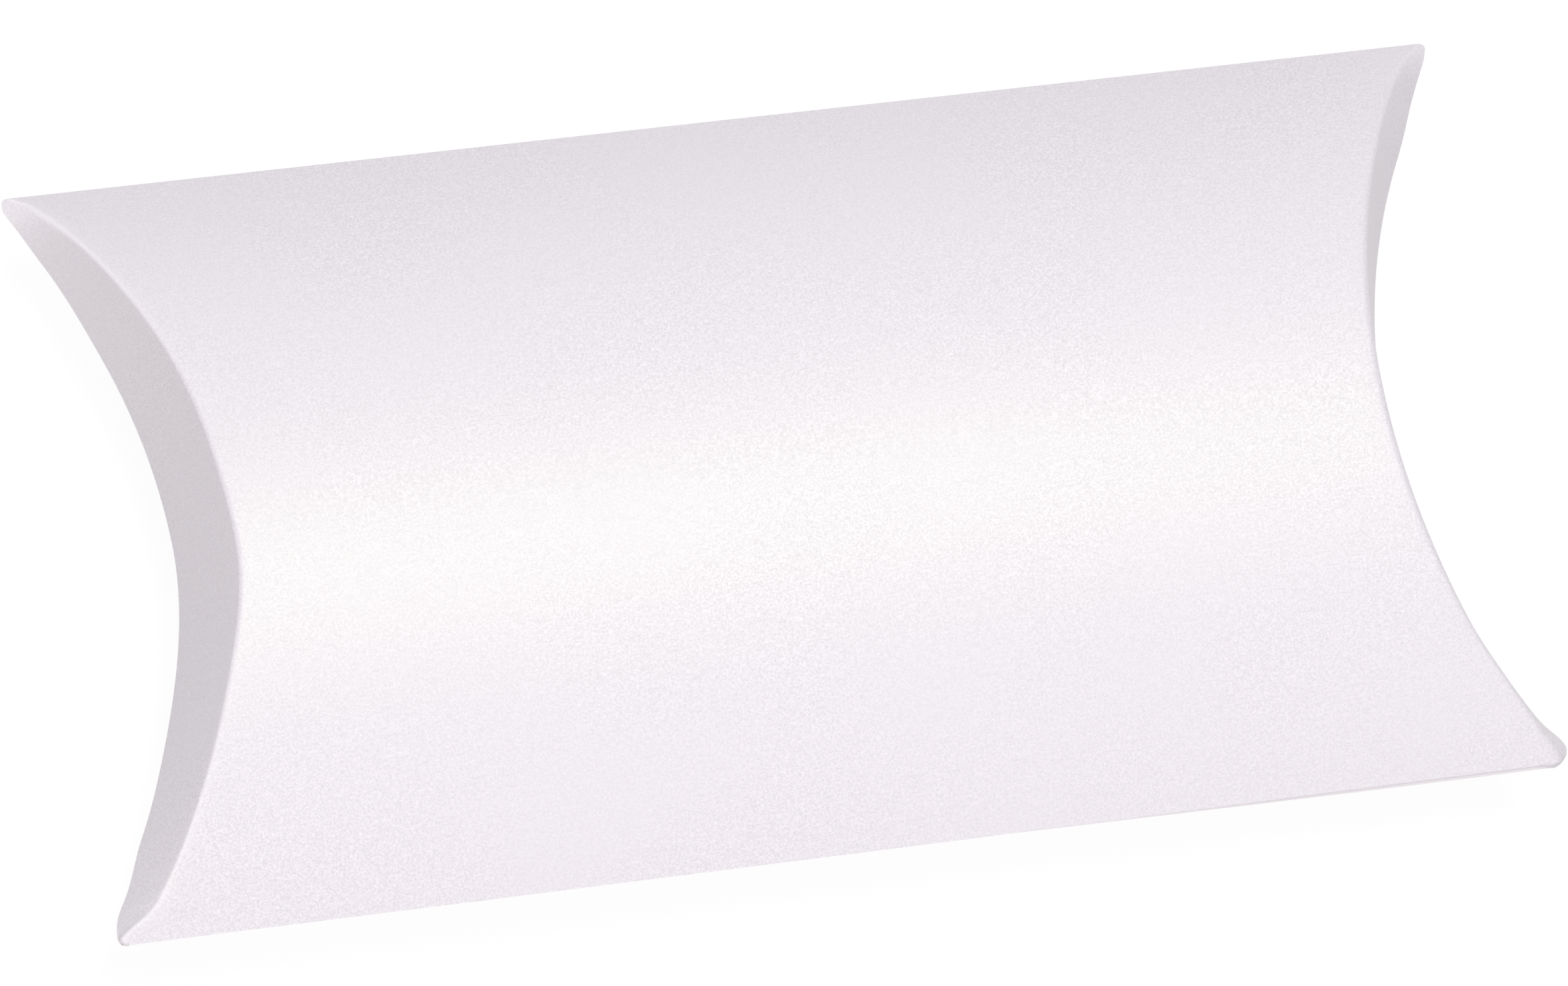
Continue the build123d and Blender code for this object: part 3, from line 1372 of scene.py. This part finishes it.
@dataclass
class Studio:
    """The pale floor, the soft light and the camera.

    Attributes:
        form: The box's sizes.
        azimuth: The camera's direction round the box, in degrees.
        elevation: Its height over the table, in degrees.
        roll: How far its frame is turned, in degrees.
        distance: Its distance from the box's middle.
        focal_pixels: Its focal length, in the photograph's pixels.
        frame_width: The photograph's width in pixels.
        offset: How far the camera's axis lies right of and below the photograph's middle, in pixels.
        sensor_width: Width of the camera's sensor in millimetres.
        sight: How far the camera sees.
        floor_reach: Half of the floor's width.
        floor_bounce: The floor's colour in the light that it throws back at the box.
        floor_shadow: The part of the floor's colour that darkens in the shadow.
        floor_glow: The part of its level that stays the same in the shadow.
        world_colour: Colour of the light from all round.
        world_level: Its level.
        lamps: The soft lamps.
    """

    form: BoxForm
    azimuth: float = -34.894
    elevation: float = 69.139
    roll: float = -26.360
    distance: float = 1.319
    focal_pixels: float = 14285.0
    frame_width: float = 2362.0
    offset: Span = (11.6, -15.1)
    sensor_width: float = 36.0
    sight: float = 20.0
    floor_reach: float = 4.0
    floor_bounce: Colour = (0.70, 0.685, 0.695)
    floor_shadow: Colour = (0.09, 0.09, 0.09)
    floor_glow: float = 0.93
    world_colour: Colour = (1.0, 0.961, 1.0)
    world_level: float = 0.354
    lamps: tuple[SoftLamp, ...] = (
        SoftLamp(
            name="key_light",
            direction=(0.12, 0.10, 0.98),
            distance=1.3,
            level=0.572,
            size=(0.7, 0.45),
            colour=(0.97, 1.0, 0.95),
        ),
        SoftLamp(
            name="front_light",
            direction=(0.22, -0.76, 0.62),
            distance=1.6,
            level=0.135,
            size=(1.2, 0.8),
            colour=(1.0, 0.99, 0.99),
        ),
        SoftLamp(
            name="left_light",
            direction=(-0.60, -0.60, 0.50),
            distance=1.4,
            level=0.303,
            size=(0.9, 0.7),
            colour=(1.0, 0.99, 0.94),
        ),
        SoftLamp(
            name="back_light",
            direction=(0.0, 0.78, 0.62),
            distance=1.6,
            level=0.105,
            size=(1.2, 0.8),
            colour=(1.0, 1.0, 1.0),
        ),
    )

    def _floor_material(self) -> bpy.types.Material:
        """Make a floor that looks white and still keeps a faint shadow.

        Returns:
            The new material.
        """
        material = bpy.data.materials.new("studio_floor")
        material.use_nodes = True
        tree = material.node_tree
        tree.nodes.clear()
        output = tree.nodes.new("ShaderNodeOutputMaterial")
        paths = tree.nodes.new("ShaderNodeLightPath")
        seen = tree.nodes.new("ShaderNodeMath")
        seen.operation = "MAXIMUM"
        tree.links.new(paths.outputs["Is Camera Ray"], seen.inputs[0])
        tree.links.new(paths.outputs["Is Glossy Ray"], seen.inputs[1])
        plain = tree.nodes.new("ShaderNodeBsdfDiffuse")
        plain.inputs["Color"].default_value = (*self.floor_bounce, 1.0)
        glow = tree.nodes.new("ShaderNodeEmission")
        glow.inputs["Strength"].default_value = self.floor_glow
        shadow = tree.nodes.new("ShaderNodeBsdfDiffuse")
        shadow.inputs["Color"].default_value = (*self.floor_shadow, 1.0)
        both = tree.nodes.new("ShaderNodeAddShader")
        tree.links.new(glow.outputs[0], both.inputs[0])
        tree.links.new(shadow.outputs[0], both.inputs[1])
        choice = tree.nodes.new("ShaderNodeMixShader")
        tree.links.new(seen.outputs[0], choice.inputs["Fac"])
        tree.links.new(plain.outputs[0], choice.inputs[1])
        tree.links.new(both.outputs[0], choice.inputs[2])
        tree.links.new(choice.outputs[0], output.inputs["Surface"])
        return material

    def build_floor(self) -> None:
        """Lay the floor under the box."""
        mesh = bpy.data.meshes.new("studio_floor")
        reach = self.floor_reach
        corners = [(-reach, -reach, 0.0), (reach, -reach, 0.0), (reach, reach, 0.0), (-reach, reach, 0.0)]
        mesh.from_pydata(corners, [], [(0, 1, 2, 3)])
        mesh.materials.append(self._floor_material())
        floor = bpy.data.objects.new("studio_floor", mesh)
        bpy.context.scene.collection.objects.link(floor)

    def build_world(self) -> None:
        """Light from all round, and white where the camera looks past the floor."""
        world = bpy.data.worlds.new("studio_world")
        world.use_nodes = True
        bpy.context.scene.world = world
        tree = world.node_tree
        tree.nodes.clear()
        output = tree.nodes.new("ShaderNodeOutputWorld")
        light = tree.nodes.new("ShaderNodeBackground")
        light.inputs["Color"].default_value = (*self.world_colour, 1.0)
        light.inputs["Strength"].default_value = self.world_level
        white = tree.nodes.new("ShaderNodeBackground")
        white.inputs["Strength"].default_value = 1.0
        white.inputs["Color"].default_value = (1.0, 1.0, 1.0, 1.0)
        paths = tree.nodes.new("ShaderNodeLightPath")
        choice = tree.nodes.new("ShaderNodeMixShader")
        tree.links.new(paths.outputs["Is Camera Ray"], choice.inputs["Fac"])
        tree.links.new(light.outputs[0], choice.inputs[1])
        tree.links.new(white.outputs[0], choice.inputs[2])
        tree.links.new(choice.outputs[0], output.inputs["Surface"])

    def build_lamps(self) -> None:
        """Hang the long key light over the crest and the softer lights round the box."""
        for lamp in self.lamps:
            lamp.hang()
            log.info("hung %s", lamp.name)

    def build_camera(self) -> None:
        """Place the camera at the photograph's angle."""
        turn, lift, roll = (math.radians(a) for a in (self.azimuth, self.elevation, self.roll))
        back = Vector((math.sin(turn) * math.cos(lift), -math.cos(turn) * math.cos(lift), math.sin(lift)))
        right = (-back).cross(Vector((0, 0, 1))).normalized()
        down = (-back).cross(right)
        across = right * math.cos(roll) + down * math.sin(roll)
        below = down * math.cos(roll) - right * math.sin(roll)
        data = bpy.data.cameras.new("photo_camera")
        data.sensor_width = self.sensor_width
        data.lens = self.focal_pixels / self.frame_width * self.sensor_width
        data.shift_x = -self.offset[0] / self.frame_width
        data.shift_y = self.offset[1] / self.frame_width
        data.clip_end = self.sight
        camera = bpy.data.objects.new("photo_camera", data)
        axes = Matrix((across, -below, back)).transposed()
        place = Vector((0.0, 0.0, self.form.middle)) + back * self.distance
        camera.matrix_world = Matrix.Translation(place) @ axes.to_4x4()
        bpy.context.scene.collection.objects.link(camera)
        bpy.context.scene.camera = camera

    def build(self) -> None:
        """Build the floor, the light and the camera."""
        self.build_floor()
        self.build_world()
        self.build_lamps()
        self.build_camera()
        bpy.context.scene.view_settings.view_transform = "Standard"


def main() -> None:
    """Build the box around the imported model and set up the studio."""
    logging.basicConfig(level=logging.INFO, format="%(name)s: %(message)s")
    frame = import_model()
    form = BoxForm()
    inside = BareBoard("inside_board", light=(0.84, 0.83, 0.81), shade=(0.76, 0.745, 0.72))
    cut = BareBoard("cut_edge_board", light=(0.88, 0.84, 0.88), shade=(0.78, 0.74, 0.78), fibre=0.12 * MM)
    coated = PearlCoat()
    finishes = {Face.COATED: coated.material(), Face.INSIDE: inside.material(), Face.CUT: cut.material()}
    CardSleeve(form, finishes).build(frame["nodes"], DriedGlue().material())
    for end in End:
        EndClosure(form, finishes, end).build()
    Studio(form).build()
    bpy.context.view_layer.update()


if __name__ == "__main__":
    main()
